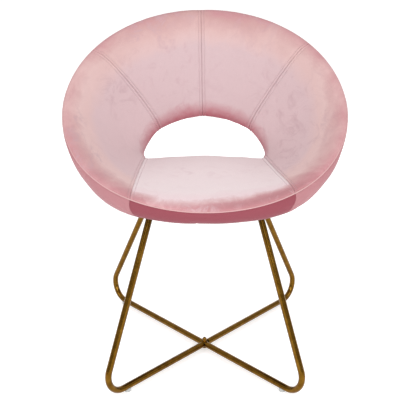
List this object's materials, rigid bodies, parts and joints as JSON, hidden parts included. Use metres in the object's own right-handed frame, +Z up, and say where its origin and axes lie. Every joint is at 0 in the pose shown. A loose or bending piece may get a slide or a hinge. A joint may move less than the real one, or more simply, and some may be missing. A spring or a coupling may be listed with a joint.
{
  "type": "upholstered armchair",
  "caption": "Open-back bucket armchair: a padded ring shell of sewn velvet panels on two crossed bent-tube leg frames.",
  "frame": {"origin": "on the floor, under the middle of the whole chair's bounding box", "axes": "+Z up, -Y to the front of the seat, +X to the right as seen from the front; the chair is symmetric about the plane X = 0 apart from which leg frame passes on top"},
  "size_m": [0.6809, 0.6222, 0.8237],
  "materials": {
    "velvet": "short-pile velvet with a brushed sheen",
    "welt": "velvet-covered cord in the rim seam",
    "foam": "open-cell polyurethane foam",
    "webbing": "woven elastic webbing",
    "plywood": "birch plywood",
    "frame_steel": "black powder coat",
    "gold_metal": "antique gold plated steel, satin",
    "zinc_steel": "zinc plated",
    "dust_cloth": "black non-woven lining",
    "clear_plastic": "translucent glide"
  },
  "bodies": {
    "root": {"acorn_nut": "gold_metal", "back_cover_left": "velvet", "back_cover_right": "velvet", "back_foam_left": "foam", "back_foam_right": "foam", "back_pad_left": "foam", "back_pad_right": "foam", "back_webbing": "webbing", "crossing_bolt": "gold_metal", "crossing_washer": "gold_metal", "dust_cover": "dust_cloth", "front_fascia": "velvet", "glide_front_left": "clear_plastic", "glide_front_right": "clear_plastic", "glide_rear_left": "clear_plastic", "glide_rear_right": "clear_plastic", "hole_rod_left": "frame_steel", "hole_rod_right": "frame_steel", "mount_plate_front_left": "gold_metal", "mount_plate_front_right": "gold_metal", "mount_plate_rear_left": "gold_metal", "mount_plate_rear_right": "gold_metal", "outer_back_cover_left": "velvet", "outer_back_cover_right": "velvet", "outer_wing_cover_left": "velvet", "outer_wing_cover_right": "velvet", "plate_bolts": "zinc_steel", "plate_washers": "zinc_steel", "rear_fascia": "velvet", "rib_back_left": "frame_steel", "rib_back_right": "frame_steel", "rib_centre": "frame_steel", "rib_seat_left": "frame_steel", "rib_seat_right": "frame_steel", "rib_wing_left": "frame_steel", "rib_wing_right": "frame_steel", "rim_rod_left": "frame_steel", "rim_rod_right": "frame_steel", "rim_welt_left": "welt", "rim_welt_right": "welt", "seat_board": "plywood", "seat_cover": "velvet", "seat_foam": "foam", "seat_strap_front": "frame_steel", "seat_strap_rear": "frame_steel", "seat_webbing": "webbing", "t_nuts": "zinc_steel", "tube_frame_lower": "gold_metal", "tube_frame_upper": "gold_metal", "wing_cover_left": "velvet", "wing_cover_right": "velvet", "wing_foam_left": "foam", "wing_foam_right": "foam", "wing_pad_left": "foam", "wing_pad_right": "foam", "wing_webbing_left": "webbing", "wing_webbing_right": "webbing"}
  },
  "joints": []
}
